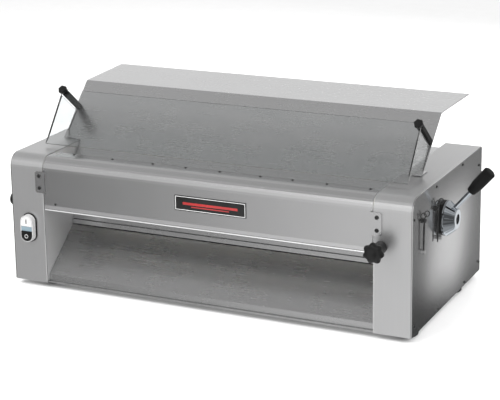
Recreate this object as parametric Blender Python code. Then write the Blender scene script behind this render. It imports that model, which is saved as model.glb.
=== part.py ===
"""Table-top dough sheeter: two driven rollers between two columns, fed from a hopper with a clear guard.

Everything is drawn in the machine's own millimetres: x from the machine's middle (positive to the
right, seen from the front), y from the front faces towards the rear, z up from the table. `place`
turns those into metres and moves the whole machine so that the middle of its outer box is the origin.
"""
import math

import bmesh
import bpy
from mathutils import Matrix, Vector

MM = 0.001
GAP = 0.35                      # clearance between neighbouring pieces

# Body and columns
WIDTH = 860.0
DEPTH = 415.0
FOOT_HEIGHT = 12.0
BODY_HEIGHT = 265.0
COLUMN_WIDTH = 76.0
SHEET = 2.0                     # steel sheet of shells and covers
FRONT_RADIUS = 27.0             # bend between a column's front and top
REAR_RADIUS = 6.0
WALL = 4.0                      # inner walls that carry the rollers
BASE = 3.0
COVER = 2.0                     # flat outer side covers
COVER_INSET = 0.8

HALF = WIDTH / 2
TOP = FOOT_HEIGHT + BODY_HEIGHT
FLOOR_TOP = FOOT_HEIGHT + BASE
INNER = HALF - COLUMN_WIDTH     # inner face of a column, from the middle
WALL_OUT = INNER + WALL
SHELL_OUT = HALF - COVER - GAP
COVER_OUT = HALF

# Apron: the bent cover over the front roller
APRON_SHEET = 1.5
APRON_TOP = TOP - 1.0
APRON_REAR = 50.0
APRON_RADIUS = 26.0
APRON_BOTTOM = FOOT_HEIGHT + 155.0
APRON_HEM = 11.0
APRON_HEM_STEP = 1.6
APRON_RETURN = 13.0
APRON_SIDE_GAP = 1.3
APRON_NOTCH = (15.0, 11.0)      # cut-out at each rear corner, along x and y

# Keeper plates beside the apron
KEEPER_X = (349.2, 370.8)
KEEPER_Z = (203.0, 247.0)
KEEPER_THICK = 1.8
KEEPER_CHAMFER = 3.0

# Nameplate
PLATE_X = 21.5
PLATE_Z = 218.5
PLATE_SIZE = (152.0, 30.0)
PLATE_THICK = 1.0

# Rollers
ROLLER_R = 31.0
ROLLER_HALF = 349.0
ROLLER_Z = 210.0
FRONT_ROLLER_Y = 50.0
REST_GAP = 5.0
REAR_ROLLER_Y = FRONT_ROLLER_Y + 2 * ROLLER_R + REST_GAP
SHAFT_R = 10.0
BUSH_R = 14.0
BUSH_FLANGE_R = 18.0

# Gap setting: spiral cams on a cross shaft push the rear roller's carriers
CAM_Y = 168.0
CAM_Z = 197.0
CAM_SHAFT_R = 8.0
GAP_TRAVEL = 4.5
LEVER_TURN = math.radians(60)
CAM_PITCH = GAP_TRAVEL / LEVER_TURN
CAM_CLEARANCE = 0.9             # between a cam's nominal radius and its carrier
CARRIER_X = (WALL_OUT + 0.5, WALL_OUT + 14.5)
CARRIER_HALF_HEIGHT = 25.0
CARRIER_Y = (REAR_ROLLER_Y - 26.0, REAR_ROLLER_Y + 24.0)
CAM_X = (WALL_OUT + 1.0, WALL_OUT + 13.0)
RAIL_OUT = WALL_OUT + 12.0
RAIL_HEIGHT = 8.0
RAIL_Y = (88.0, 133.0)

# Gears in the right column, long thin teeth so that they stay in mesh over the whole gap
GEAR_TEETH = 14
GEAR_TIP_R = 36.2
GEAR_ROOT_R = 25.8
GEAR_X = (376.0, 388.0)
TOOTH_ROOT_HALF = 1.8
TOOTH_TIP_HALF = 1.0

# Belt drive in the left column
MOTOR_Y = 300.0
MOTOR_Z = 110.0
MOTOR_R = 55.0
MOTOR_PULLEY_R = 20.0
ROLLER_PULLEY_R = 30.0
PULLEY_X = (-386.0, -374.0)
BELT_X = (-385.0, -375.0)
BELT_THICK = 3.0
MOTOR_SHAFT_R = 8.0

# Chute and the upright strip behind the discharge
CHUTE_SHEET = 1.5
LIP_Y = 8.0
LIP_TOP = FOOT_HEIGHT + 16.0
CHUTE_TOP = (104.0, 107.0)
BACK_Y = 108.0
BACK_Z = (110.0, 150.0)

# Hopper and guard
HOPPER_SHEET = 1.5
HOPPER_FOOT = (118.8, 247.0)
HOPPER_BEND = (255.0, 379.0)
HOPPER_REAR = (413.5, 382.5)
HOPPER_NOTCH_Z = TOP + 1.5
HOPPER_HALF_NARROW = 352.5
HOPPER_HALF_NOTCH = 393.7
HOPPER_HALF_BEND = 396.5
HOPPER_HALF_REAR = 401.5
BRACKET_X = (372.0, 392.0)
GUARD_SHEET = 3.0
GUARD_FOOT = (76.0, TOP + 7.0)
GUARD_TOP = (150.8, 382.0)
GUARD_HALF = 392.5
WING_BOTTOM = TOP + 17.0
WING_CLEARANCE = 1.2
SPACER_X = 388.5
SPACER_R = 7.8
SPACER_BELOW = 5.0              # how far its axis meets the guard below the top edge
SPACER_DROP = math.radians(39)
KNOB_R = 10.0
KNOB_LENGTH = 9.0

# Rear cover
REAR_COVER_TOP = TOP - 11.0
REAR_COVER_START = 176.0
REAR_COVER_SHEET = 1.5

# Dial, lever and grip on the right cover
DIAL_R = 34.0
DIAL_RIM = 12.0
DIAL_FACE_R = 19.5
DIAL_LENGTH = 30.5
DIAL_RECESS_R = 10.0
DIAL_RECESS = 8.0
LEVER_R = 4.6
LEVER_ROOT = (456.0, 220.0)     # x and z where the rod leaves the cone
LEVER_TIP = (527.0, 303.0)
LEVER_INSERT = 12.0
GRIP_LENGTH = 57.0
GRIP_R = (9.0, 12.2)
ROD_SHORT = 20.0                # how far the rod stops short of the lever's tip

# Scrapers under the rollers: each is a rod across the machine with a blade towards its roller
ROD_R = 4.0
ROD_END = 8.0                   # how far a rod stands out of the right cover
FRONT_ROD = (47.0, 167.0)
REAR_ROD = (140.0, 166.0)
FRONT_EDGE = (65.0, 180.0)
REAR_EDGE = (108.0, 177.0)
BLADE = 1.6

# Wire springs from the scraper rods to anchor pins on the right cover
SPRING_WIRE_R = 0.9
SPRING_STANDOFF = 5.0
SPRING_LOOP_R = 6.0
SPRING_LOOP_RISE = 2.2          # how much further out the finger loop stands
SPRING_LOOP_POINTS = 15
PIN_R = 3.0
PIN_LENGTH = 8.0
FRONT_PIN = (49.0, 226.0)
REAR_PIN = (120.0, 229.0)

# Double push-button on the left column
BUTTON_X = -390.0
BUTTON_Z = 126.5
BUTTON_SIZE = (30.0, 57.0)
BUTTON_RIM = 2.4
BUTTON_DEPTH = 13.0
BUTTON_TRAVEL = 3.0
BUTTON_HOLE_R = 11.0
LENS_HALF = 4.6
CONTACT_X = (-409.0, -387.5)

# Star knob on the right column
STAR_X = 369.5
STAR_Z = 182.0
STAR_R = 20.5
STAR_FACE = 47.0
STAR_THICK = 15.0
STAR_HUB_R = 12.5
STAR_STUD_R = 4.0
STAR_LOBES = 6

# Hand knob on the front scraper's left end
HAND_KNOB_REACH = 30.0
HAND_KNOB_R = 13.5
HAND_STUB = 20.0                # how far the rod reaches into the knob from the cover

# Feet
FOOT_R = 24.0
FEET = {
    "foot_front_left": (-364.0, 49.0),
    "foot_front_right": (401.0, 49.0),
    "foot_rear_left": (-364.0, 309.0),
    "foot_rear_right": (401.0, 309.0),
}

# Outer box of the whole machine, for the origin
LEVER = Vector((LEVER_TIP[0] - LEVER_ROOT[0], LEVER_TIP[1] - LEVER_ROOT[1]))
GRIP_END = LEVER.length - GRIP_R[1] * 0.6
GRIP_ROUNDING = 2.5
REACH_LEFT = HALF + HAND_KNOB_REACH
LEVER_RUN = LEVER.normalized()
REACH_RIGHT = LEVER_ROOT[0] + LEVER_RUN.x * (GRIP_END - GRIP_ROUNDING) + LEVER_RUN.y * GRIP_R[1]
REACH_FRONT = STAR_FACE
REACH_REAR = DEPTH + GAP + 15.0
SHIFT = Vector((
    -(REACH_RIGHT - REACH_LEFT) / 2,
    -(REACH_REAR - REACH_FRONT) / 2,
    0.0,
))

SIDES = (("left", -1), ("right", 1))


# ---------------------------------------------------------------- scene, materials, placing

def clear_scene():
    for old in list(bpy.data.objects):
        bpy.data.objects.remove(old, do_unlink=True)


def material(name, colour, roughness, metallic=0.0, alpha=1.0):
    mat = bpy.data.materials.get(name)
    if mat is None:
        mat = bpy.data.materials.new(name)
        mat.use_nodes = True
        shader = mat.node_tree.nodes["Principled BSDF"]
        shader.inputs["Base Color"].default_value = (*colour, 1.0)
        shader.inputs["Roughness"].default_value = roughness
        shader.inputs["Metallic"].default_value = metallic
        shader.inputs["Alpha"].default_value = alpha
    return mat


def steel():
    return material("brushed_steel", (0.60, 0.60, 0.59), 0.35, 1.0)


def frame_steel():
    return material("frame_steel", (0.50, 0.50, 0.50), 0.45, 1.0)


def chrome():
    return material("chrome", (0.80, 0.82, 0.84), 0.08, 1.0)


def black_plastic():
    return material("black_plastic", (0.02, 0.02, 0.02), 0.4)


def rubber():
    return material("rubber", (0.015, 0.015, 0.015), 0.8)


def dark_screw():
    return material("dark_screw", (0.08, 0.08, 0.08), 0.4, 1.0)


def empty(name, origin):
    marker = bpy.data.objects.new(name, None)
    bpy.context.collection.objects.link(marker)
    marker.location = (Vector(origin) + SHIFT) * MM
    return marker


def place(bm, name, mat, origin=(0, 0, 0), parent=None):
    """Make an object of a mesh drawn in machine millimetres, with its own origin at `origin`."""
    origin = Vector(origin)
    bmesh.ops.recalc_face_normals(bm, faces=bm.faces)
    bmesh.ops.translate(bm, verts=bm.verts, vec=-origin)
    bmesh.ops.scale(bm, verts=bm.verts, vec=(MM, MM, MM))
    mesh = bpy.data.meshes.new(name)
    bm.to_mesh(mesh)
    bm.free()
    mesh.materials.append(mat)
    mesh.shade_smooth()
    mesh.set_sharp_from_angle(angle=math.radians(35))
    obj = bpy.data.objects.new(name, mesh)
    bpy.context.collection.objects.link(obj)
    obj.location = (origin + SHIFT) * MM
    if parent is not None:
        obj.parent = parent
        obj.location -= parent.location
    return obj


# ---------------------------------------------------------------- shape tools

def arc(centre, radius, start, end, steps):
    """Points on an arc, angles in degrees."""
    return [
        (centre[0] + radius * math.cos(math.radians(start + (end - start) * i / steps)),
         centre[1] + radius * math.sin(math.radians(start + (end - start) * i / steps)))
        for i in range(steps + 1)
    ]


def circle(centre, radius, steps):
    return arc(centre, radius, 0, 360, steps)[:-1]


def to_space(axis, along, point):
    """A point of a flat outline and a distance along the axis, as x, y, z."""
    if axis == "X":
        return (along, point[0], point[1])
    if axis == "Y":
        return (point[0], along, point[1])
    return (point[0], point[1], along)


def add_prism(bm, outline, axis, low, high):
    """Extrude a flat outline along an axis into a closed solid."""
    near = [bm.verts.new(to_space(axis, low, p)) for p in outline]
    far = [bm.verts.new(to_space(axis, high, p)) for p in outline]
    count = len(outline)
    bm.faces.new(near[::-1])
    bm.faces.new(far)
    for i in range(count):
        j = (i + 1) % count
        bm.faces.new((near[i], near[j], far[j], far[i]))
    return near + far


def prism(outline, axis, low, high):
    bm = bmesh.new()
    add_prism(bm, outline, axis, low, high)
    return bm


def add_box(bm, x, y, z):
    outline = [(x[0], y[0]), (x[1], y[0]), (x[1], y[1]), (x[0], y[1])]
    return add_prism(bm, outline, "Z", z[0], z[1])


def box(x, y, z):
    bm = bmesh.new()
    add_box(bm, x, y, z)
    return bm


def add_turned(bm, profile, axis, centre, steps):
    """Turn a profile of (distance along axis, radius) about the axis through `centre`.

    A profile that starts and ends on the axis gives a solid; any other is closed into a ring.
    """
    rings = []
    for along, radius in profile:
        if radius == 0:
            rings.append([bm.verts.new(to_space(axis, along, centre))])
        else:
            rings.append([bm.verts.new(to_space(axis, along, p)) for p in circle(centre, radius, steps)])
    pairs = list(zip(rings, rings[1:]))
    if len(rings[0]) > 1:
        pairs.append((rings[-1], rings[0]))
    for one, two in pairs:
        for i in range(steps):
            j = (i + 1) % steps
            if len(one) == 1:
                bm.faces.new((one[0], two[i], two[j]))
            elif len(two) == 1:
                bm.faces.new((one[i], two[0], one[j]))
            else:
                bm.faces.new((one[i], two[i], two[j], one[j]))
    return [v for ring in rings for v in ring]


def turned(profile, axis, centre, steps=40):
    bm = bmesh.new()
    add_turned(bm, profile, axis, centre, steps)
    return bm


def rod_profile(*steps):
    """A stepped solid rod: (from, to, radius) stretches in order along the axis."""
    profile = [(steps[0][0], 0)]
    for start, end, radius in steps:
        profile += [(start, radius), (end, radius)]
    profile.append((steps[-1][1], 0))
    return profile


def tube_profile(low, high, inner, outer):
    return [(low, inner), (high, inner), (high, outer), (low, outer)]


def aim(bm, verts, start, direction):
    """Move vertices drawn along +X from the origin to start at `start` and run along `direction`."""
    turn = Vector((1, 0, 0)).rotation_difference(Vector(direction)).to_matrix().to_4x4()
    bmesh.ops.transform(bm, matrix=Matrix.Translation(Vector(start)) @ turn, verts=verts)


def strip_outline(path, thickness):
    """A sheet's section: the path and its offset to the left of its direction, mitred at bends."""
    offset = []
    for i, point in enumerate(path):
        before = Vector(path[max(i - 1, 0)])
        here = Vector(point)
        after = Vector(path[min(i + 1, len(path) - 1)])
        run_in = (here - before) if i else (after - here)
        run_out = (after - here) if i < len(path) - 1 else (here - before)
        normal_in = Vector((-run_in.y, run_in.x)).normalized()
        normal_out = Vector((-run_out.y, run_out.x)).normalized()
        middle = (normal_in + normal_out).normalized()
        offset.append(tuple(here + middle * (thickness / middle.dot(normal_in))))
    return list(path) + offset[::-1]


def bent_sheet(path, thickness, x):
    return prism(strip_outline(path, thickness), "X", x[0], x[1])


def cut(obj, bm, name):
    """Cut a mesh drawn in machine millimetres out of an object."""
    cutter = place(bm, f"cut_{name}", steel())
    cutter.hide_render = True
    cutter.display_type = "WIRE"
    modifier = obj.modifiers.new(f"cut_{name}", "BOOLEAN")
    modifier.operation = "DIFFERENCE"
    modifier.object = cutter


def join(obj, bm, name):
    """Unite a mesh drawn in machine millimetres with an object."""
    tool = place(bm, f"join_{name}", steel())
    tool.hide_render = True
    tool.display_type = "WIRE"
    modifier = obj.modifiers.new(f"join_{name}", "BOOLEAN")
    modifier.operation = "UNION"
    modifier.object = tool


def bevel(obj, width, segments=1):
    modifier = obj.modifiers.new("edges", "BEVEL")
    modifier.width = width * MM
    modifier.segments = segments
    modifier.limit_method = "ANGLE"
    modifier.angle_limit = math.radians(40)


# ---------------------------------------------------------------- body

def column_outline(inset, bottom):
    """A column's side view, drawn `inset` inside its outer faces."""
    front = max(FRONT_RADIUS - inset, 0.5)
    rear = max(REAR_RADIUS - inset, 0.5)
    points = [(inset, bottom)]
    points += arc((FRONT_RADIUS, TOP - FRONT_RADIUS), front, 180, 90, 8)
    points += arc((DEPTH - REAR_RADIUS, TOP - REAR_RADIUS), rear, 90, 0, 3)
    points.append((DEPTH - inset, bottom))
    return points


def base_plate():
    edge = SHELL_OUT - 2
    plate = box((-edge, edge), (SHEET + 1, DEPTH - SHEET - 1), (FOOT_HEIGHT, FLOOR_TOP))
    place(plate, "base_plate", frame_steel())


def column_shells():
    outer = column_outline(0, FOOT_HEIGHT)
    inner = column_outline(SHEET, FOOT_HEIGHT)
    for side, sign in SIDES:
        x = sorted((sign * INNER, sign * SHELL_OUT))
        shell = place(prism(outer + inner[::-1], "X", *x), f"column_shell_{side}", steel())
        if side == "left":
            hole = turned(rod_profile((-5, 8, BUTTON_HOLE_R)), "Y", (BUTTON_X, BUTTON_Z), 24)
            cut(shell, hole, "button_hole")
        else:
            hole = turned(rod_profile((-5, 8, STAR_STUD_R + 1)), "Y", (STAR_X, STAR_Z), 16)
            cut(shell, hole, "star_stud_hole")


def carrier_rails(sign):
    """Rails above and below a carrier, welded to the outside of its wall."""
    bm = bmesh.new()
    x = sorted((sign * (WALL_OUT - 1), sign * RAIL_OUT))
    for level in (-1, 1):
        z = sorted((
            ROLLER_Z + level * (CARRIER_HALF_HEIGHT + GAP),
            ROLLER_Z + level * (CARRIER_HALF_HEIGHT + RAIL_HEIGHT)))
        add_box(bm, x, RAIL_Y, z)
    return bm


def inner_walls():
    outline = column_outline(SHEET + GAP, FLOOR_TOP + GAP)
    slot_y = (REAR_ROLLER_Y - GAP_TRAVEL - SHAFT_R - 2, REAR_ROLLER_Y + GAP_TRAVEL + SHAFT_R + 2)
    for side, sign in SIDES:
        x = sorted((sign * INNER, sign * WALL_OUT))
        through = (x[0] - 3, x[1] + 3)
        wall = place(prism(outline, "X", *x), f"inner_wall_{side}", frame_steel())
        holes = bmesh.new()
        for centre, radius in (
            ((FRONT_ROLLER_Y, ROLLER_Z), BUSH_R + GAP),
            ((CAM_Y, CAM_Z), CAM_SHAFT_R + GAP),
            (FRONT_ROD, ROD_R + GAP),
            (REAR_ROD, ROD_R + GAP),
        ):
            add_turned(holes, rod_profile((*through, radius)), "X", centre, 20)
        if side == "left":
            add_turned(holes, rod_profile((*through, MOTOR_SHAFT_R + 1)), "X", (MOTOR_Y, MOTOR_Z), 20)
        add_box(holes, through, slot_y, (ROLLER_Z - SHAFT_R - 1.5, ROLLER_Z + SHAFT_R + 1.5))
        cut(wall, holes, f"wall_holes_{side}")
        join(wall, carrier_rails(sign), f"carrier_rails_{side}")


def side_covers():
    outline = column_outline(COVER_INSET, FOOT_HEIGHT + COVER_INSET)
    for side, sign in SIDES:
        x = sorted((sign * (SHELL_OUT + GAP), sign * COVER_OUT))
        through = (x[0] - 3, x[1] + 3)
        cover = place(prism(outline, "X", *x), f"side_cover_{side}", steel())
        holes = bmesh.new()
        if side == "left":
            add_turned(holes, rod_profile((*through, ROD_R + 0.6)), "X", FRONT_ROD, 16)
        else:
            add_turned(holes, rod_profile((*through, CAM_SHAFT_R + 0.6)), "X", (CAM_Y, CAM_Z), 20)
            for centre in (FRONT_ROD, REAR_ROD):
                add_turned(holes, rod_profile((*through, ROD_R + 0.6)), "X", centre, 16)
        cut(cover, holes, f"cover_holes_{side}")


def feet():
    for name, (x, y) in FEET.items():
        profile = [
            (0, 0), (0, FOOT_R - 2), (2, FOOT_R), (FOOT_HEIGHT - GAP - 3, FOOT_R),
            (FOOT_HEIGHT - GAP, FOOT_R - 3), (FOOT_HEIGHT - GAP, 0),
        ]
        place(turned(profile, "Z", (x, y), 32), name, rubber())


def rear_cover():
    half = INNER - 0.5
    path = [(REAR_COVER_START, REAR_COVER_TOP)]
    path += arc((DEPTH - REAR_RADIUS, REAR_COVER_TOP - REAR_RADIUS), REAR_RADIUS, 90, 0, 3)
    path.append((DEPTH, FLOOR_TOP + GAP))
    outline = strip_outline(path, -REAR_COVER_SHEET)
    cover = place(prism(outline, "X", -half, half), "rear_cover", steel())
    cut(cover, turned(rod_profile((DEPTH - 5, DEPTH + 5, 8.5)), "Y", (250, 60), 20), "inlet_hole")


# ---------------------------------------------------------------- front cover and its trim

def apron():
    half = INNER - APRON_SIDE_GAP
    path = [(APRON_REAR, APRON_TOP)]
    path += arc((APRON_RADIUS, APRON_TOP - APRON_RADIUS), APRON_RADIUS, 90, 180, 8)
    path += [
        (0, APRON_BOTTOM + APRON_HEM),
        (APRON_HEM_STEP, APRON_BOTTOM + 1),
        (APRON_HEM_STEP + 1, APRON_BOTTOM),
        (APRON_RETURN, APRON_BOTTOM),
    ]
    sheet = place(bent_sheet(path, APRON_SHEET, (-half, half)), "apron", steel())
    notches = bmesh.new()
    for _, sign in SIDES:
        keeper = sorted((sign * (KEEPER_X[0] - GAP), sign * (half + 5)))
        add_box(notches, keeper, (-5, 6), (KEEPER_Z[0] - 1, KEEPER_Z[1] + 1))
        corner = sorted((sign * (half - APRON_NOTCH[0]), sign * (half + 5)))
        depth = (APRON_REAR - APRON_NOTCH[1], APRON_REAR + 5)
        add_box(notches, corner, depth, (APRON_TOP - 5, APRON_TOP + 5))
    cut(sheet, notches, "apron_notches")


def nameplate():
    half_w, half_h = PLATE_SIZE[0] / 2, PLATE_SIZE[1] / 2
    x = (PLATE_X - half_w, PLATE_X + half_w)
    plate = box(x, (-GAP - PLATE_THICK, -GAP), (PLATE_Z - half_h, PLATE_Z + half_h))
    place(plate, "nameplate", material("nameplate", (0.05, 0.05, 0.05), 0.5))


def keeper_plates():
    near, far = KEEPER_X
    low, high = KEEPER_Z
    corner = KEEPER_CHAMFER
    outline = [
        (near, low), (far - corner, low), (far, low + corner),
        (far, high - corner), (far - corner, high), (near, high),
    ]
    for side, sign in SIDES:
        shape = prism([(sign * x, z) for x, z in outline], "Y", -GAP - KEEPER_THICK, -GAP)
        place(shape, f"keeper_plate_{side}", steel())


# ---------------------------------------------------------------- chute

def chute():
    half = INNER - 0.6
    path = [
        (LIP_Y + 20, FLOOR_TOP + GAP), (LIP_Y, FLOOR_TOP + GAP), (LIP_Y, LIP_TOP), CHUTE_TOP,
    ]
    place(bent_sheet(path, -CHUTE_SHEET, (-half, half)), "chute", steel())


def chute_back():
    """Upright strip behind the discharge, folded forward at its foot."""
    half = INNER - 0.6
    path = [
        (BACK_Y - 2.2, BACK_Z[0] + 8), (BACK_Y - 2.2, BACK_Z[0]),
        (BACK_Y, BACK_Z[0]), (BACK_Y, BACK_Z[1]),
    ]
    place(bent_sheet(path, -1.0, (-half, half)), "chute_back", steel())


# ---------------------------------------------------------------- hopper and guard

def on_hopper(z):
    """y of the hopper's sloped face at height z."""
    share = (z - HOPPER_FOOT[1]) / (HOPPER_BEND[1] - HOPPER_FOOT[1])
    return HOPPER_FOOT[0] + share * (HOPPER_BEND[0] - HOPPER_FOOT[0])


def on_guard(z):
    """y of the guard's front face at height z."""
    share = (z - GUARD_FOOT[1]) / (GUARD_TOP[1] - GUARD_FOOT[1])
    return GUARD_FOOT[0] + share * (GUARD_TOP[0] - GUARD_FOOT[0])


def hopper_slope():
    return math.atan2(HOPPER_BEND[1] - HOPPER_FOOT[1], HOPPER_BEND[0] - HOPPER_FOOT[0])


def hopper():
    """Bent sheet: a narrow tongue between the walls, a wide slope above the columns, a rear shelf."""
    narrow = HOPPER_HALF_NARROW
    notch = (on_hopper(HOPPER_NOTCH_Z), HOPPER_NOTCH_Z)
    rows = (
        (HOPPER_FOOT, (None, -narrow, narrow, None)),
        (notch, (-HOPPER_HALF_NOTCH, -narrow, narrow, HOPPER_HALF_NOTCH)),
        (HOPPER_BEND, (-HOPPER_HALF_BEND, -narrow, narrow, HOPPER_HALF_BEND)),
        (HOPPER_REAR, (-HOPPER_HALF_REAR, -narrow, narrow, HOPPER_HALF_REAR)),
    )
    bm = bmesh.new()
    grid = [
        [None if x is None else bm.verts.new((x, y, z)) for x in xs]
        for (y, z), xs in rows
    ]
    for low, high in zip(grid, grid[1:]):
        for i in range(3):
            corners = (low[i], low[i + 1], high[i + 1], high[i])
            if None not in corners:
                bm.faces.new(corners)
    sheet = place(bm, "hopper", steel())
    solid = sheet.modifiers.new("sheet", "SOLIDIFY")
    solid.thickness = HOPPER_SHEET * MM
    solid.offset = -1
    solid.use_even_offset = True


def hopper_brackets():
    """Angles on the column tops that the hopper's slope is screwed to from behind."""
    slope = hopper_slope()
    along = Vector((math.cos(slope), math.sin(slope)))
    behind = Vector((along.y, -along.x))
    foot = Vector((on_hopper(TOP + 4.0), TOP + 4.0)) + behind * (HOPPER_SHEET + GAP)
    foot.y = max(foot.y, TOP + 3.0)
    top = foot + along * 26
    path = [(foot.x + 34, TOP + GAP), (foot.x + 6, TOP + GAP), tuple(foot + along * 4), tuple(top)]
    for side, sign in SIDES:
        x = sorted((sign * BRACKET_X[0], sign * BRACKET_X[1]))
        place(bent_sheet(path, -1.5, x), f"hopper_bracket_{side}", steel())


def clear_guard():
    """Clear folded sheet: a leaning front panel and two side wings that reach back to the hopper."""
    lean = math.atan2(GUARD_TOP[1] - GUARD_FOOT[1], GUARD_TOP[0] - GUARD_FOOT[0])
    back = Vector((math.sin(lean), -math.cos(lean))) * GUARD_SHEET
    foot, top = Vector(GUARD_FOOT), Vector(GUARD_TOP)
    section = [tuple(foot), tuple(foot + back), tuple(top + back), tuple(top)]
    panel = prism(section, "X", -GUARD_HALF, GUARD_HALF)
    guard = place(panel, "clear_guard", material("clear_plastic", (0.9, 0.92, 0.92), 0.05, 0.0, 0.3))
    under = Vector((-math.sin(SPACER_DROP), -math.cos(SPACER_DROP))) * (SPACER_R + 2.5)
    drop = Vector((math.cos(SPACER_DROP), -math.sin(SPACER_DROP)))
    upper_front = spacer_start() + under
    upper_rear = upper_front + drop * drop_to_hopper(upper_front, WING_CLEARANCE)
    wing_outline = [
        (on_guard(WING_BOTTOM) + GUARD_SHEET * 0.5, WING_BOTTOM),
        (on_hopper(WING_BOTTOM) - 2 * WING_CLEARANCE, WING_BOTTOM), tuple(upper_rear),
        tuple(upper_front + drop * 1.0),
    ]
    wings = bmesh.new()
    for _, sign in SIDES:
        x = sorted((sign * (GUARD_HALF - GUARD_SHEET), sign * GUARD_HALF))
        add_prism(wings, wing_outline, "X", *x)
    join(guard, wings, "guard_wings")


def spacer_start():
    """Where a guard spacer's axis leaves the guard's back face."""
    start_z = GUARD_TOP[1] - SPACER_BELOW
    return Vector((on_guard(start_z) + GUARD_SHEET * 1.15, start_z))


def drop_to_hopper(start, clearance):
    """Distance along the spacers' direction from `start` to the hopper's face, less a clearance."""
    slope = hopper_slope()
    normal = Vector((-math.sin(slope), math.cos(slope)))
    reach = normal.dot(start - Vector(HOPPER_FOOT)) - clearance
    return reach / -normal.dot(Vector((math.cos(SPACER_DROP), -math.sin(SPACER_DROP))))


def guard_half_space(behind, gap):
    """A block filling everything in front of (or behind) the guard's panel, kept `gap` off its faces."""
    lean = math.atan2(GUARD_TOP[1] - GUARD_FOOT[1], GUARD_TOP[0] - GUARD_FOOT[0])
    up = Vector((math.cos(lean), math.sin(lean)))
    back = Vector((math.sin(lean), -math.cos(lean)))
    start = Vector(GUARD_TOP) + back * (GUARD_SHEET + gap if behind else -gap)
    depth = back * (60 if behind else -60)
    outline = [tuple(p) for p in (
        start - up * 60, start + up * 60, start + up * 60 + depth, start - up * 60 + depth)]
    return prism(outline, "X", -450, 450)


def guard_spacers():
    """Hexagonal standoffs between the guard's top corners and the hopper, mitred to the guard."""
    direction = (0, math.cos(SPACER_DROP), -math.sin(SPACER_DROP))
    for side, sign in SIDES:
        bm = bmesh.new()
        start = spacer_start()
        skew = math.pi / 2 - SPACER_DROP - hopper_slope()
        profile = rod_profile((-12, drop_to_hopper(start, GAP + SPACER_R * math.sin(skew)), SPACER_R))
        verts = add_turned(bm, profile, "X", (0, 0), 6)
        aim(bm, verts, (sign * SPACER_X, *start), direction)
        spacer = place(bm, f"guard_spacer_{side}", black_plastic())
        cut(spacer, guard_half_space(False, -GUARD_SHEET - GAP), f"spacer_mitre_{side}")


def guard_knobs():
    """Black heads on the guard's front at both top corners."""
    direction = (0, math.cos(SPACER_DROP), -math.sin(SPACER_DROP))
    for side, sign in SIDES:
        bm = bmesh.new()
        profile = [
            (-KNOB_LENGTH - 6, 0), (-KNOB_LENGTH - 6, KNOB_R * 0.6), (-KNOB_LENGTH - 3, KNOB_R),
            (8, KNOB_R), (8, 0),
        ]
        verts = add_turned(bm, profile, "X", (0, 0), 12)
        aim(bm, verts, (sign * SPACER_X, *spacer_start()), direction)
        knob = place(bm, f"guard_knob_{side}", black_plastic())
        cut(knob, guard_half_space(True, -GUARD_SHEET - GAP), f"knob_mitre_{side}")


# ---------------------------------------------------------------- rollers and gap setting

def front_roller(axis):
    shaft_end = GEAR_X[1] + 4
    roller = turned(
        rod_profile(
            (PULLEY_X[0] - 2, -ROLLER_HALF, SHAFT_R),
            (-ROLLER_HALF, ROLLER_HALF, ROLLER_R),
            (ROLLER_HALF, shaft_end, SHAFT_R)),
        "X", (FRONT_ROLLER_Y, ROLLER_Z), 48)
    place(roller, "front_roller", chrome(), (0, FRONT_ROLLER_Y, ROLLER_Z), axis)


def rear_roller(axis):
    roller = turned(
        rod_profile(
            (-CARRIER_X[1] - 1, -ROLLER_HALF, SHAFT_R),
            (-ROLLER_HALF, ROLLER_HALF, ROLLER_R),
            (ROLLER_HALF, GEAR_X[1] + 4, SHAFT_R)),
        "X", (REAR_ROLLER_Y, ROLLER_Z), 48)
    place(roller, "rear_roller", chrome(), (0, REAR_ROLLER_Y, ROLLER_Z), axis)


def front_bushes():
    bronze = material("bronze", (0.55, 0.40, 0.20), 0.4, 1.0)
    for side, sign in SIDES:
        profile = [
            (sign * (INNER + GAP), SHAFT_R + GAP), (sign * (INNER + GAP), BUSH_R),
            (sign * (WALL_OUT + GAP), BUSH_R), (sign * (WALL_OUT + GAP), BUSH_FLANGE_R),
            (sign * (WALL_OUT + 4), BUSH_FLANGE_R), (sign * (WALL_OUT + 4), SHAFT_R + GAP),
        ]
        place(turned(profile, "X", (FRONT_ROLLER_Y, ROLLER_Z), 24), f"front_bush_{side}", bronze)


def gear(name, y, phase, axis):
    """Spur gear with slim straight-sided teeth."""
    outline = []
    for i in range(GEAR_TEETH):
        angle = phase + 2 * math.pi * i / GEAR_TEETH
        out = Vector((math.cos(angle), math.sin(angle)))
        across = Vector((-out.y, out.x))
        for radius, half in (
            (GEAR_ROOT_R, -TOOTH_ROOT_HALF), (GEAR_TIP_R, -TOOTH_TIP_HALF),
            (GEAR_TIP_R, TOOTH_TIP_HALF), (GEAR_ROOT_R, TOOTH_ROOT_HALF),
        ):
            point = out * radius + across * half
            outline.append((y + point.x, ROLLER_Z + point.y))
    wheel = place(prism(outline, "X", *GEAR_X), name, frame_steel(), (0, y, ROLLER_Z), axis)
    bore = turned(rod_profile((GEAR_X[0] - 3, GEAR_X[1] + 3, SHAFT_R + GAP)), "X", (y, ROLLER_Z), 24)
    cut(wheel, bore, f"{name}_bore")


def gears(front_axis, rear_axis):
    gear("front_gear", FRONT_ROLLER_Y, 0.0, front_axis)
    gear("rear_gear", REAR_ROLLER_Y, math.pi + math.pi / GEAR_TEETH, rear_axis)


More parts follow.
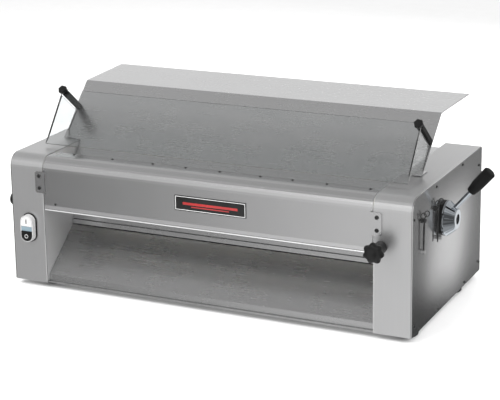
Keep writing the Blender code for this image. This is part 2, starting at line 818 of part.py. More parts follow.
def rear_carriers(axis):
    """Sliding blocks that carry the rear roller's shaft outside the walls."""
    for side, sign in SIDES:
        x = sorted((sign * CARRIER_X[0], sign * CARRIER_X[1]))
        z = (ROLLER_Z - CARRIER_HALF_HEIGHT, ROLLER_Z + CARRIER_HALF_HEIGHT)
        centre = (0, REAR_ROLLER_Y, ROLLER_Z)
        block = place(box(x, CARRIER_Y, z), f"rear_carrier_{side}", frame_steel(), centre, axis)
        bore = turned(rod_profile((x[0] - 3, x[1] + 3, SHAFT_R + GAP)), "X", (REAR_ROLLER_Y, ROLLER_Z), 24)
        cut(block, bore, f"carrier_bore_{side}")


def cam_outline():
    """Spiral whose reach towards the front grows evenly as the lever tips forward."""
    middle = CAM_Y - CARRIER_Y[1] - CAM_CLEARANCE
    working = math.radians(100)
    steps = 28
    points = []
    for i in range(steps + 1):
        turn = -working + 2 * working * i / steps
        radius = middle + CAM_PITCH * turn
        angle = math.pi - turn
        points.append((CAM_Y + radius * math.cos(angle), CAM_Z + radius * math.sin(angle)))
    return points


def gap_camshaft(axis):
    end = HALF + GAP + 10.0
    shaft = turned(rod_profile((-CAM_X[1] - 2, end, CAM_SHAFT_R)), "X", (CAM_Y, CAM_Z), 24)
    camshaft = place(shaft, "gap_camshaft", frame_steel(), (0, CAM_Y, CAM_Z), axis)
    cams = bmesh.new()
    for _, sign in SIDES:
        add_prism(cams, cam_outline(), "X", *sorted((sign * CAM_X[0], sign * CAM_X[1])))
    join(camshaft, cams, "cams")


def lever_direction():
    return Vector((LEVER.x, 0, LEVER.y)).normalized()


def lever_point(distance):
    """Point on the lever's axis, from where it leaves the dial."""
    return Vector((LEVER_ROOT[0], CAM_Y, LEVER_ROOT[1])) + lever_direction() * distance


def dial_hub(axis):
    low = HALF + GAP
    face = HALF + DIAL_LENGTH
    profile = [
        (low, 0), (low, DIAL_R - 1), (low + 1, DIAL_R), (HALF + DIAL_RIM, DIAL_R),
        (face - 0.8, DIAL_FACE_R), (face, DIAL_FACE_R - 1), (face, 0),
    ]
    hub = place(turned(profile, "X", (CAM_Y, CAM_Z), 48), "dial_hub", chrome(), (0, CAM_Y, CAM_Z), axis)
    holes = bmesh.new()
    shaft_pocket = (low - 3, HALF + GAP + 10.5, CAM_SHAFT_R + GAP)
    screw_hole = (shaft_pocket[1], face - DIAL_RECESS, 4 + GAP)
    recess = (face - DIAL_RECESS, face + 3, DIAL_RECESS_R)
    add_turned(holes, rod_profile(shaft_pocket, screw_hole, recess), "X", (CAM_Y, CAM_Z), 24)
    cut(hub, holes, "dial_bores")
    socket = bmesh.new()
    verts = add_turned(socket, rod_profile((-LEVER_INSERT - GAP, 30, LEVER_R + GAP)), "X", (0, 0), 16)
    aim(socket, verts, lever_point(0), lever_direction())
    cut(hub, socket, "lever_socket")


def dial_screw(axis):
    face = HALF + DIAL_LENGTH
    seat = face - DIAL_RECESS + GAP
    profile = rod_profile((HALF + 12, seat, 4.0), (seat, seat + 5.5, 8.0))
    turned_screw = turned(profile, "X", (CAM_Y, CAM_Z), 24)
    screw = place(turned_screw, "dial_screw", dark_screw(), (0, CAM_Y, CAM_Z), axis)
    cut(screw, turned(rod_profile((seat + 2.5, seat + 9, 4.2)), "X", (CAM_Y, CAM_Z), 6), "socket_hex")


def lever_rod(axis):
    bm = bmesh.new()
    verts = add_turned(bm, rod_profile((-LEVER_INSERT, LEVER.length - ROD_SHORT, LEVER_R)), "X", (0, 0), 20)
    aim(bm, verts, lever_point(0), lever_direction())
    place(bm, "lever_rod", chrome(), (0, CAM_Y, CAM_Z), axis)


def lever_grip(axis):
    start = GRIP_END - GRIP_LENGTH
    bore_end = LEVER.length - ROD_SHORT + GAP
    profile = [
        (bore_end, 0), (bore_end, LEVER_R + GAP), (start, LEVER_R + GAP), (start, GRIP_R[0] - 0.8),
        (start + 1, GRIP_R[0]), (start + 18, GRIP_R[1] - 0.6), (GRIP_END - GRIP_ROUNDING, GRIP_R[1]),
        (GRIP_END - 0.6, GRIP_R[1] - 2), (GRIP_END, GRIP_R[1] - 5), (GRIP_END, 0),
    ]
    bm = bmesh.new()
    verts = add_turned(bm, profile, "X", (0, 0), 24)
    aim(bm, verts, lever_point(0), lever_direction())
    place(bm, "lever_grip", black_plastic(), (0, CAM_Y, CAM_Z), axis)


# ---------------------------------------------------------------- drive

def gearmotor():
    """Motor on a foot, with its gearbox against the left wall."""
    bm = bmesh.new()
    box_x = (-INNER + 3, -288)
    add_box(bm, box_x, (MOTOR_Y - 38, MOTOR_Y + 38), (MOTOR_Z - 38, MOTOR_Z + 38))
    motor = place(bm, "gearmotor", material("motor_grey", (0.25, 0.27, 0.29), 0.5))
    barrel = rod_profile((-290, -110, MOTOR_R), (-110, -84, MOTOR_R - 3))
    join(motor, turned(barrel, "X", (MOTOR_Y, MOTOR_Z), 32), "motor_barrel")
    foot = box((-270, -120), (MOTOR_Y - 36, MOTOR_Y + 36), (FLOOR_TOP + GAP, MOTOR_Z - 30))
    join(motor, foot, "motor_foot")


def motor_pulley(axis):
    profile = rod_profile(
        (PULLEY_X[0], PULLEY_X[1], MOTOR_PULLEY_R), (PULLEY_X[1], -INNER + 3 - GAP, MOTOR_SHAFT_R))
    pulley = turned(profile, "X", (MOTOR_Y, MOTOR_Z), 32)
    place(pulley, "motor_pulley", frame_steel(), (0, MOTOR_Y, MOTOR_Z), axis)


def roller_pulley(axis):
    profile = tube_profile(*PULLEY_X, SHAFT_R + GAP, ROLLER_PULLEY_R)
    pulley = turned(profile, "X", (FRONT_ROLLER_Y, ROLLER_Z), 40)
    place(pulley, "roller_pulley", frame_steel(), (0, FRONT_ROLLER_Y, ROLLER_Z), axis)


def belt_loop(extra):
    """Outline around both pulleys, `extra` outside their rims."""
    front, rear = Vector((FRONT_ROLLER_Y, ROLLER_Z)), Vector((MOTOR_Y, MOTOR_Z))
    big, small = ROLLER_PULLEY_R + extra, MOTOR_PULLEY_R + extra
    run = math.degrees(math.atan2(rear.y - front.y, rear.x - front.x))
    wrap = math.degrees(math.acos((big - small) / (rear - front).length))
    return (
        arc(front, big, run + wrap, run + 360 - wrap, 20)
        + arc(rear, small, run - wrap, run + wrap, 12)
    )


def drive_belt():
    outer = belt_loop(GAP + BELT_THICK)
    belt = place(prism(outer, "X", *BELT_X), "drive_belt", rubber())
    cut(belt, prism(belt_loop(GAP), "X", BELT_X[0] - 3, BELT_X[1] + 3), "belt_inside")


def control_box():
    body = place(
        box((150, 290), (300, 395), (FLOOR_TOP + GAP, 96)), "control_box",
        material("grey_box", (0.55, 0.56, 0.57), 0.5))
    bevel(body, 3)


def cable_gland():
    """Cable gland on the rear cover; the machine is shown without its cord."""
    seat = DEPTH + GAP
    profile = [
        (DEPTH - 12, 0), (DEPTH - 12, 8.0), (seat, 8.0), (seat, 12.0), (seat + 5, 12.0),
        (seat + 5, 9.5), (seat + 12, 8.5), (seat + 15, 6.0), (seat + 15, 3.6),
        (seat + 10, 3.6), (seat + 10, 0),
    ]
    place(turned(profile, "Y", (250, 60), 24), "cable_gland", black_plastic())


# ---------------------------------------------------------------- scrapers, pins and wire springs

def scraper(name, rod, edge, left_end, axis):
    """Rod across the machine with a blade whose edge stands just off its roller."""
    profile = rod_profile((left_end, HALF + ROD_END, ROD_R))
    body = place(turned(profile, "X", rod, 16), name, steel(), (0, *rod), axis)
    root = Vector(rod)
    tip = Vector(edge)
    across = Vector((-(tip - root).y, (tip - root).x)).normalized() * (BLADE / 2)
    outline = [tuple(p) for p in (root + across, tip + across, tip - across, root - across)]
    join(body, prism(outline, "X", -INNER + 8, INNER - 8), f"{name}_blade")


def wire_path(rod, pin):
    """Centre line of a wire spring: eye round the rod's end, a leg past the pin, finger loop above it."""
    rod, pin = Vector(rod), Vector(pin)
    up = (pin - rod).normalized()
    front = Vector((-up.y, up.x))
    eye = ROD_R + SPRING_WIRE_R + GAP
    loop_middle = pin + up * (PIN_R + SPRING_LOOP_R + 3) + front * (SPRING_LOOP_R * 0.5)
    tilt = math.degrees(math.atan2(up.y, up.x))
    points = arc(rod, eye, tilt - 60, tilt - 360 + 90, 12)
    beside = PIN_R + SPRING_WIRE_R + 0.9
    points.append(tuple(rod + up * 16 + front * (beside * 0.9)))
    points.append(tuple(pin - up * 2 + front * beside))
    points.append(tuple(pin + up * (PIN_R + 2) + front * (beside - 1.2)))
    points += arc(loop_middle, SPRING_LOOP_R, tilt - 150, tilt + 150, SPRING_LOOP_POINTS - 1)
    return points


def wire_spring(name, rod, pin, axis):
    spline_points = wire_path(rod, pin)
    curve = bpy.data.curves.new(name, "CURVE")
    curve.dimensions = "3D"
    curve.bevel_depth = SPRING_WIRE_R * MM
    curve.bevel_resolution = 1
    curve.use_fill_caps = True
    spline = curve.splines.new("POLY")
    spline.points.add(len(spline_points) - 1)
    for i, (y, z) in enumerate(spline_points):
        share = max(0, i - (len(spline_points) - SPRING_LOOP_POINTS)) / (SPRING_LOOP_POINTS - 1)
        rise = SPRING_STANDOFF + SPRING_LOOP_RISE * share
        spline.points[i].co = ((HALF + rise) * MM, (y - rod[0]) * MM, (z - rod[1]) * MM, 1)
    spring = bpy.data.objects.new(name, curve)
    bpy.context.collection.objects.link(spring)
    curve.materials.append(dark_screw())
    spring.location = (Vector((0, *rod)) + SHIFT) * MM
    spring.parent = axis
    spring.location -= axis.location


def anchor_pins():
    low = HALF + GAP
    profile = rod_profile(
        (low, low + 2.5, PIN_R + 2), (low + 2.5, low + PIN_LENGTH - 1.5, PIN_R),
        (low + PIN_LENGTH - 1.5, low + PIN_LENGTH, PIN_R + 0.4))
    for name, pin in (("front", FRONT_PIN), ("rear", REAR_PIN)):
        place(turned(profile, "X", pin, 16), f"anchor_pin_{name}", dark_screw())


# ---------------------------------------------------------------- controls

def stadium(width, height, low=None, high=None):
    """Upright slot-shaped outline round (0, 0), optionally cut off below `low` and above `high`."""
    radius = width / 2
    straight = height / 2 - radius
    points = arc((0, straight), radius, 0, 180, 16) + arc((0, -straight), radius, 180, 360, 16)
    low = -height if low is None else low
    high = height if high is None else high
    clipped = []
    for i, here in enumerate(points):
        after = points[(i + 1) % len(points)]
        if low <= here[1] <= high:
            clipped.append(here)
        for level in sorted((low, high), key=lambda v: abs(v - here[1])):
            if (here[1] - level) * (after[1] - level) < 0:
                share = (level - here[1]) / (after[1] - here[1])
                clipped.append((here[0] + share * (after[0] - here[0]), level))
    return clipped


def at_button(outline):
    return [(BUTTON_X + x, BUTTON_Z + z) for x, z in outline]


def button_bezel():
    """Slot-shaped housing with a stepped collar; its front is open round the two buttons and the lens."""
    width, height = BUTTON_SIZE
    body = prism(at_button(stadium(width - 1.6, height - 1.6)), "Y", -BUTTON_DEPTH, -2.0)
    bezel = place(body, "button_bezel", material("light_plastic", (0.75, 0.76, 0.77), 0.35))
    join(bezel, prism(at_button(stadium(width, height)), "Y", -2.5, -GAP), "bezel_collar")
    inside = stadium(width - 2 * BUTTON_RIM, height - 2 * BUTTON_RIM)
    cut(bezel, prism(at_button(inside), "Y", -BUTTON_DEPTH - 3, -2.0), "bezel_well")


def button_outline(low, high):
    width, height = BUTTON_SIZE
    inset = 2 * (BUTTON_RIM + GAP)
    return at_button(stadium(width - inset, height - inset, low, high))


def push_button(name, low, high, proud, colour, axis):
    shape = prism(button_outline(low, high), "Y", -BUTTON_DEPTH - proud, -2.0 - BUTTON_TRAVEL - GAP)
    cap = place(shape, name, material(name, colour, 0.35), (BUTTON_X, -BUTTON_DEPTH, BUTTON_Z), axis)
    bevel(cap, 0.6, 2)


def pilot_lens():
    lens = prism(button_outline(-LENS_HALF, LENS_HALF), "Y", -BUTTON_DEPTH - 0.3, -2.0 - GAP)
    place(lens, "pilot_lens", material("pilot_lens", (0.55, 0.62, 0.66), 0.15))


def contact_block():
    bm = box(CONTACT_X, (SHEET + GAP, 46), (BUTTON_Z - 21, BUTTON_Z + 21))
    block = place(bm, "contact_block", black_plastic())
    neck = rod_profile((0, SHEET + 3, BUTTON_HOLE_R - GAP))
    join(block, turned(neck, "Y", (BUTTON_X, BUTTON_Z), 24), "contact_neck")


def star_outline():
    return [
        (STAR_X + radius * math.cos(angle), STAR_Z + radius * math.sin(angle))
        for angle, radius in (
            (2 * math.pi * i / 48, STAR_R - 1.5 + 1.5 * math.cos(STAR_LOBES * 2 * math.pi * i / 48))
            for i in range(48)
        )
    ]


def star_knob(axis):
    """Lobed knob with its hub and stud."""
    body = prism(star_outline(), "Y", -STAR_FACE, -STAR_FACE + STAR_THICK)
    knob = place(body, "star_knob", black_plastic(), (STAR_X, 0, STAR_Z), axis)
    bevel(knob, 1.6, 2)
    hub = rod_profile(
        (-STAR_FACE + 6, -GAP * 2, STAR_HUB_R), (-GAP * 2, 10, STAR_STUD_R))
    join(knob, turned(hub, "Y", (STAR_X, STAR_Z), 24), "star_hub")


def star_boss():
    """Threaded boss inside the right column that takes the star knob's stud."""
    profile = tube_profile(SHEET + GAP, 12, STAR_STUD_R + GAP, 8.5)
    place(turned(profile, "Y", (STAR_X, STAR_Z), 24), "star_boss", frame_steel())


def hand_knob(axis):
    """Knob on the front scraper's left end."""
    far = -HALF - HAND_KNOB_REACH
    near = -HALF - 2
    bore = ROD_R + GAP
    bore_end = -HALF - HAND_STUB - GAP
    profile = [
        (bore_end, 0), (bore_end, bore), (near, bore), (near, HAND_KNOB_R - 4),
        (near - 10, HAND_KNOB_R - 4), (near - 14, HAND_KNOB_R - 0.5), (near - 18, HAND_KNOB_R),
        (far + 4, HAND_KNOB_R), (far + 1, HAND_KNOB_R - 1.5), (far, HAND_KNOB_R - 4), (far, 0),
    ]
    place(turned(profile, "X", FRONT_ROD, 32), "hand_knob", black_plastic(), (0, *FRONT_ROD), axis)


# ---------------------------------------------------------------- assembly

def main():
    clear_scene()
    base_plate()
    column_shells()
    inner_walls()
    side_covers()
    feet()
    rear_cover()
    apron()
    nameplate()
    keeper_plates()
    chute()
    chute_back()
    hopper()
    hopper_brackets()
    clear_guard()
    guard_spacers()
    guard_knobs()
    front_bushes()
    gearmotor()
    drive_belt()
    control_box()
    cable_gland()
    anchor_pins()
    button_bezel()
    pilot_lens()
    contact_block()
    star_boss()

    front_axis = empty("front_roller_axis", (0, FRONT_ROLLER_Y, ROLLER_Z))
    front_roller(front_axis)
    roller_pulley(front_axis)
    rear_axis = empty("rear_roller_axis", (0, REAR_ROLLER_Y, ROLLER_Z))
    rear_roller(rear_axis)
    rear_carriers(rear_axis)
    gears(front_axis, rear_axis)
    gap_axis = empty("gap_axis", (0, CAM_Y, CAM_Z))
    gap_camshaft(gap_axis)
    dial_hub(gap_axis)
    dial_screw(gap_axis)
    lever_rod(gap_axis)
    lever_grip(gap_axis)
    motor_pulley(empty("motor_axis", (0, MOTOR_Y, MOTOR_Z)))
    front_rod_axis = empty("front_rod_axis", (0, *FRONT_ROD))
    scraper("front_scraper", FRONT_ROD, FRONT_EDGE, -HALF - HAND_STUB, front_rod_axis)
    hand_knob(front_rod_axis)
    scraper("rear_scraper", REAR_ROD, REAR_EDGE, -WALL_OUT - 2, empty("rear_rod_axis", (0, *REAR_ROD)))
    wire_spring("retaining_spring_front", FRONT_ROD, FRONT_PIN, empty("front_spring_axis", (0, *FRONT_ROD)))
    wire_spring("retaining_spring_rear", REAR_ROD, REAR_PIN, empty("rear_spring_axis", (0, *REAR_ROD)))
    button_axis = empty("button_axis", (BUTTON_X, -BUTTON_DEPTH, BUTTON_Z))
    push_button("start_button", LENS_HALF + GAP, None, 0.6, (0.85, 0.85, 0.85), button_axis)
    push_button("stop_button", None, -LENS_HALF - GAP, 2.0, (0.02, 0.02, 0.02), button_axis)
    star_knob(empty("star_axis", (STAR_X, 0, STAR_Z)))


main()
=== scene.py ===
"""Looks for a table-top dough sheeter: finishes for its parts, small fittings, studio and camera."""

import math

import bmesh
import bpy
from mathutils import Matrix, Vector

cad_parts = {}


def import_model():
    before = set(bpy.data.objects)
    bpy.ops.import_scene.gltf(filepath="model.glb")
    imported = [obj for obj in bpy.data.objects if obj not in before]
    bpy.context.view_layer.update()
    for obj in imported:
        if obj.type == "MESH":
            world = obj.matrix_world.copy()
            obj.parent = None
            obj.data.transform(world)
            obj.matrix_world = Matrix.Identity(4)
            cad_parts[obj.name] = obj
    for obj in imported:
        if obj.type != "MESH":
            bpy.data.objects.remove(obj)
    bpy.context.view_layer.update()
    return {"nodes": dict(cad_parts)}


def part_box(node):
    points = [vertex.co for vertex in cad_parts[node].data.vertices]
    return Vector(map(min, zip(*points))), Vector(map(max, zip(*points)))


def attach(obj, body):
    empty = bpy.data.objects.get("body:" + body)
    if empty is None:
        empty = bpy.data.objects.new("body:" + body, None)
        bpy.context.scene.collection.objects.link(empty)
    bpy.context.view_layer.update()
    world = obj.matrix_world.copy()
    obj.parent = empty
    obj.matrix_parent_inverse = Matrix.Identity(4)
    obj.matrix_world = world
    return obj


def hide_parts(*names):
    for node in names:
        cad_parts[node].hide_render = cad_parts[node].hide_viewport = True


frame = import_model()

NODES = frame["nodes"]
MM = 0.001

# The machine's own millimetres: x from its middle, y from its front faces, z from the table
LEFT_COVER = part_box("side_cover_left")
RIGHT_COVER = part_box("side_cover_right")
ORIGIN = Vector(((LEFT_COVER[0].x + RIGHT_COVER[1].x) / 2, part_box("column_shell_left")[0].y, 0.0))
HALF = (RIGHT_COVER[1].x - LEFT_COVER[0].x) / 2 / MM


def at(x, y, z):
    """A point given in the machine's millimetres."""
    return ORIGIN + Vector((x, y, z)) * MM


def machine_box(node):
    """A node's lowest and highest corners in the machine's millimetres."""
    low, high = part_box(node)
    return (low - ORIGIN) / MM, (high - ORIGIN) / MM


# ---------------------------------------------------------------- shader tools

class Shader:
    """A material under construction, with short calls for the nodes it is made of."""

    def __init__(self, name):
        self.mat = bpy.data.materials.new(name)
        self.mat.use_nodes = True
        self.tree = self.mat.node_tree
        self.main = self.tree.nodes["Principled BSDF"]

    def node(self, kind, inputs=(), **settings):
        new = self.tree.nodes.new(kind)
        for key, value in settings.items():
            setattr(new, key, value)
        for key, value in dict(inputs).items():
            self.put(new.inputs[key], value)
        return new

    def put(self, socket, value):
        if isinstance(value, bpy.types.NodeSocket):
            self.tree.links.new(value, socket)
        else:
            socket.default_value = value

    def set(self, **values):
        for key, value in values.items():
            self.put(self.main.inputs[key.replace("_", " ")], value)

    def place(self, scale):
        """Object coordinates stretched by `scale`."""
        coords = self.node("ShaderNodeTexCoord")
        mapping = self.node("ShaderNodeMapping", {"Vector": coords.outputs["Object"], "Scale": scale})
        return mapping.outputs["Vector"]

    def noise(self, scale, detail=2.0, rough=0.5, stretch=(1, 1, 1)):
        inputs = {"Vector": self.place(stretch), "Scale": scale, "Detail": detail, "Roughness": rough}
        return self.node("ShaderNodeTexNoise", inputs).outputs["Fac"]

    def remap(self, value, low, high, start=0.3, end=0.7):
        inputs = {"Value": value, "From Min": start, "From Max": end, "To Min": low, "To Max": high}
        return self.node("ShaderNodeMapRange", inputs).outputs["Result"]

    def math(self, kind, one, two):
        return self.node("ShaderNodeMath", {0: one, 1: two}, operation=kind).outputs[0]

    def vector_math(self, kind, *values):
        return self.node("ShaderNodeVectorMath", dict(enumerate(values)), operation=kind).outputs[0]

    def mix(self, factor, one, two):
        new = self.node("ShaderNodeMix", data_type="RGBA")
        for index, value in ((0, factor), (6, one), (7, two)):
            self.put(new.inputs[index], value)
        return new.outputs[2]

    def bowed(self, middle, amount):
        """The surface's normal leaning outwards with distance from `middle`, as on a domed panel."""
        coords = self.node("ShaderNodeTexCoord")
        facing = self.node("ShaderNodeNewGeometry").outputs["Normal"]
        away = self.vector_math("SUBTRACT", coords.outputs["Object"], middle)
        lean = self.vector_math("MULTIPLY", away, amount)
        return self.vector_math("NORMALIZE", self.vector_math("ADD", facing, lean))

    def bump(self, height, strength, distance, before=None):
        inputs = {"Height": height, "Strength": strength, "Distance": distance}
        if before is not None:
            inputs["Normal"] = before
        return self.node("ShaderNodeBump", inputs).outputs["Normal"]


def grey(value):
    return (value, value, value, 1.0)


GRAIN = {"x": (1.0, 60.0, 60.0), "y": (60.0, 1.0, 60.0), "z": (60.0, 1.0, 1.0)}


def brushed_steel(name, grain, tone=0.56, rough=0.27, wave=0.6, metal=0.94, crown=None):
    """Stainless sheet: fine grain along one direction, cloudy handling marks, slight waviness."""
    s = Shader(name)
    fine = s.noise(14.0, 3.0, 0.6, GRAIN[grain])
    coarse = s.noise(5.0, 2.0, 0.5, GRAIN[grain])
    clouds = s.noise(7.0, 4.0, 0.55)
    smudge = s.noise(23.0, 3.0, 0.6)
    shade = s.math("ADD", s.remap(fine, -0.008, 0.008), s.remap(clouds, -0.007, 0.007))
    level = s.math("ADD", shade, tone)
    colour = s.node("ShaderNodeCombineColor", {
        "Red": level, "Green": level, "Blue": s.math("MULTIPLY", level, 1.005)})
    roughness = s.math("ADD", s.remap(coarse, rough - 0.005, rough + 0.005), s.remap(smudge, -0.006, 0.006))
    normal = s.bump(s.noise(5.0, 1.0, 0.4), wave, 0.0006, s.bowed(*crown) if crown else None)
    s.set(Base_Color=colour.outputs["Color"], Metallic=metal, Roughness=roughness, Normal=normal)
    return s.mat


def machined_steel(name, tone=0.5):
    s = Shader(name)
    turned = s.noise(40.0, 3.0, 0.6, (8, 1, 1))
    colour = s.mix(s.remap(s.noise(12.0, 3.0), 0, 1), grey(tone * 0.9), grey(tone * 1.08))
    s.set(Base_Color=colour, Metallic=1.0, Roughness=s.remap(turned, 0.3, 0.48),
          Normal=s.bump(turned, 0.15, 0.0001))
    return s.mat


def chrome(name):
    s = Shader(name)
    haze = s.noise(30.0, 3.0, 0.6)
    colour = s.mix(s.remap(haze, 0, 1), (0.46, 0.50, 0.54, 1), (0.56, 0.59, 0.62, 1))
    s.set(Base_Color=colour, Metallic=1.0, Roughness=s.remap(haze, 0.05, 0.11),
          Normal=s.bump(s.noise(60.0, 1.0), 0.05, 0.0002))
    return s.mat


def dark_steel(name):
    s = Shader(name)
    worn = s.noise(120.0, 3.0, 0.6)
    colour = s.mix(s.remap(worn, 0, 1), grey(0.035), grey(0.10))
    s.set(Base_Color=colour, Metallic=0.85, Roughness=s.remap(worn, 0.28, 0.5),
          Normal=s.bump(worn, 0.1, 0.0001))
    return s.mat


def plastic(name, dark, light, rough, grain=260.0, relief=0.15, ior=1.5, coat=0.0):
    """Moulded plastic: fine spark-eroded grain, slightly uneven gloss and colour."""
    s = Shader(name)
    pits = s.noise(grain, 2.0, 0.6)
    cloud = s.noise(18.0, 3.0, 0.5)
    s.set(Base_Color=s.mix(s.remap(cloud, 0, 1), dark, light),
          Roughness=s.math("ADD", s.remap(pits, -0.05, 0.05), rough),
          Normal=s.bump(pits, relief, 0.0003), IOR=ior, Coat_Weight=coat)
    return s.mat


def clear_sheet(name):
    """Clear sheet with faint wipe marks; the greyer edges are painted shade from a separate finish."""
    s = Shader(name)
    wipes = s.noise(14.0, 4.0, 0.6, (1, 3, 3))
    s.set(Base_Color=s.mix(s.remap(wipes, 0, 1), (0.88, 0.90, 0.90, 1), (0.94, 0.95, 0.95, 1)),
          Roughness=s.remap(wipes, 0.02, 0.07), IOR=1.49, Transmission_Weight=1.0,
          Normal=s.bump(wipes, 0.03, 0.0002))
    return s.mat


def food_plastic(name):
    s = Shader(name)
    rings = s.noise(30.0, 3.0, 0.5, (6, 1, 1))
    colour = s.mix(s.remap(rings, 0, 1), (0.78, 0.77, 0.72, 1), (0.87, 0.86, 0.82, 1))
    s.set(Base_Color=colour, Roughness=s.remap(rings, 0.35, 0.5), Normal=s.bump(rings, 0.1, 0.0002),
          Subsurface_Weight=0.05)
    return s.mat


def bronze(name):
    s = Shader(name)
    worn = s.noise(60.0, 3.0, 0.6)
    s.set(Base_Color=s.mix(s.remap(worn, 0, 1), (0.45, 0.30, 0.13, 1), (0.62, 0.45, 0.22, 1)),
          Metallic=1.0, Roughness=s.remap(worn, 0.3, 0.5), Normal=s.bump(worn, 0.1, 0.0001))
    return s.mat


MATERIALS = {
    "apron_steel": brushed_steel("apron_steel", "x", rough=0.22),
    "column_steel": brushed_steel("column_steel", "z", tone=0.62, rough=0.38),
    # The side covers' steel is darker than the other sheets: painted shade
    "cover_steel_painted_shade": brushed_steel(
        "cover_steel_painted_shade", "y", tone=0.5, rough=0.15, wave=0.5, crown=(at(0, 207, 145), (0.0, 0.40, 0.45))),
    "hopper_steel": brushed_steel("hopper_steel", "x", tone=0.60, wave=0.3),
    # The inner walls' steel is paler than the other sheets: painted light inside the opening
    "inner_steel_painted_light": brushed_steel("inner_steel_painted_light", "z", tone=0.80, rough=0.45, metal=0.7),
    "chute_steel": brushed_steel("chute_steel", "x", tone=0.5, wave=0.3),
    # Pale steel for the wires that paint highlights along edges
    "highlight_steel": brushed_steel("highlight_steel", "x", tone=0.92, rough=0.22, metal=0.85),
    "machined": machined_steel("machined"),
    "chrome": chrome("chrome"),
    "dark_steel": dark_steel("dark_steel"),
    "screw_steel": machined_steel("screw_steel", 0.42),
    "black_plastic": plastic("black_plastic", grey(0.004), grey(0.010), 0.36, ior=1.33),
    "black_grip": plastic("black_grip", grey(0.003), grey(0.008), 0.55, 400.0, 0.15, 1.22),
    "rubber": plastic("rubber", grey(0.008), grey(0.02), 0.75, 500.0, 0.4),
    "light_plastic": plastic("light_plastic", grey(0.46), grey(0.54), 0.32),
    "white_plastic": plastic("white_plastic", grey(0.50), grey(0.57), 0.26),
    "lens_plastic": plastic(
        "lens_plastic", (0.16, 0.22, 0.26, 1), (0.22, 0.29, 0.33, 1), 0.14, 90.0, 0.05, 1.55, 0.5),
    "clear_plastic": clear_sheet("clear_plastic"),
    # Grey for the clear guard's edges: painted shade
    "guard_edge_painted_shade": plastic("guard_edge_painted_shade", grey(0.16), grey(0.30), 0.3, 120.0, 0.1),
    "roller_plastic": food_plastic("roller_plastic"),
    "bronze": bronze("bronze"),
    "motor_paint": plastic("motor_paint", (0.18, 0.20, 0.22, 1), (0.25, 0.27, 0.29, 1), 0.45, 90.0, 0.4),
    "box_plastic": plastic("box_plastic", grey(0.45), grey(0.52), 0.45),
    "plate_black": plastic("plate_black", grey(0.008), grey(0.016), 0.22, 60.0, 0.05),
    "plate_mark": plastic("plate_mark", (0.30, 0.02, 0.02, 1), (0.38, 0.03, 0.03, 1), 0.3, 60.0, 0.05),
    "plate_line": plastic("plate_line", grey(0.70), grey(0.80), 0.3, 60.0, 0.05),
}

FINISHES = {
    "apron_steel": ["apron", "keeper_plate_left", "keeper_plate_right"],
    "column_steel": ["column_shell_left", "column_shell_right"],
    "inner_steel_painted_light": ["inner_wall_left", "inner_wall_right"],
    "cover_steel_painted_shade": ["side_cover_left", "side_cover_right"],
    "hopper_steel": ["hopper", "hopper_bracket_left", "hopper_bracket_right", "rear_cover"],
    "chute_steel": ["chute", "chute_back", "front_scraper", "rear_scraper"],
    "machined": ["base_plate", "front_gear", "rear_gear", "rear_carrier_left", "rear_carrier_right",
                 "gap_camshaft", "motor_pulley", "roller_pulley", "star_boss"],
    "chrome": ["dial_hub", "lever_rod"],
    "dark_steel": ["dial_screw", "anchor_pin_front", "anchor_pin_rear",
                   "retaining_spring_front", "retaining_spring_rear"],
    "black_plastic": ["hand_knob", "guard_knob_left", "guard_knob_right", "guard_spacer_left",
                      "guard_spacer_right", "cable_gland", "contact_block", "stop_button", "star_knob"],
    "black_grip": ["lever_grip"],
    "rubber": ["foot_front_left", "foot_front_right", "foot_rear_left", "foot_rear_right", "drive_belt"],
    "light_plastic": ["button_bezel"],
    "white_plastic": ["start_button"],
    "lens_plastic": ["pilot_lens"],
    "clear_plastic": ["clear_guard"],
    "roller_plastic": ["front_roller", "rear_roller"],
    "bronze": ["front_bush_left", "front_bush_right"],
    "motor_paint": ["gearmotor"],
    "box_plastic": ["control_box"],
    "plate_black": ["nameplate"],
}

for finish, names in FINISHES.items():
    for name in names:
        NODES[name].data.materials.clear()
        NODES[name].data.materials.append(MATERIALS[finish])


def paint_guard_edge_shade(widest):
    """Painted shade on the guard: its narrow faces take an opaque grey finish for the dark lines along its
    edges.
    """
    mesh = NODES["clear_guard"].data
    mesh.materials.append(MATERIALS["guard_edge_painted_shade"])
    for face in mesh.polygons:
        points = [mesh.vertices[v].co for v in face.vertices]
        longest = max((a - b).length for a in points for b in points)
        if 2 * face.area / longest < widest:
            face.material_index = 1


GUARD_EDGE_WIDEST = 4.2
paint_guard_edge_shade(GUARD_EDGE_WIDEST * MM)


# ---------------------------------------------------------------- small fittings

SHARP_ANGLE = math.radians(35)
# How far a screw head's underside, or the middle of the stop mark's wire, is off the face
STAND_OFF = 0.05


def piece(name, bm, finish, body, stands_for=None):
    """Finished mesh code as a piece that rides on a CAD body and takes one of the machine's finishes."""
    bmesh.ops.recalc_face_normals(bm, faces=bm.faces)
    mesh = bpy.data.meshes.new(name)
    bm.to_mesh(mesh)
    bm.free()
    mesh.materials.append(MATERIALS[finish])
    mesh.polygons.foreach_set("use_smooth", [True] * len(mesh.polygons))
    mesh.set_sharp_from_angle(angle=SHARP_ANGLE)
    obj = bpy.data.objects.new(name, mesh)
    bpy.context.scene.collection.objects.link(obj)
    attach(obj, body)
    if stands_for:
        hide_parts(stands_for)


def hexagon(angle):
    return math.cos(math.pi / 6) / math.cos(angle % (math.pi / 3) - math.pi / 6)


def lobes(count, depth):
    return lambda angle: 1 - depth * (1 - math.cos(count * angle)) / 2


def skin(bm, rings):
    """Joins a row of rings into one closed surface."""
    for one, two in zip(rings, rings[1:]):
        for i in range(len(one)):
            j = (i + 1) % len(one)
            bm.faces.new((one[i], one[j], two[j], two[i]))
    bm.faces.new(rings[0][::-1])
    bm.faces.new(rings[-1])


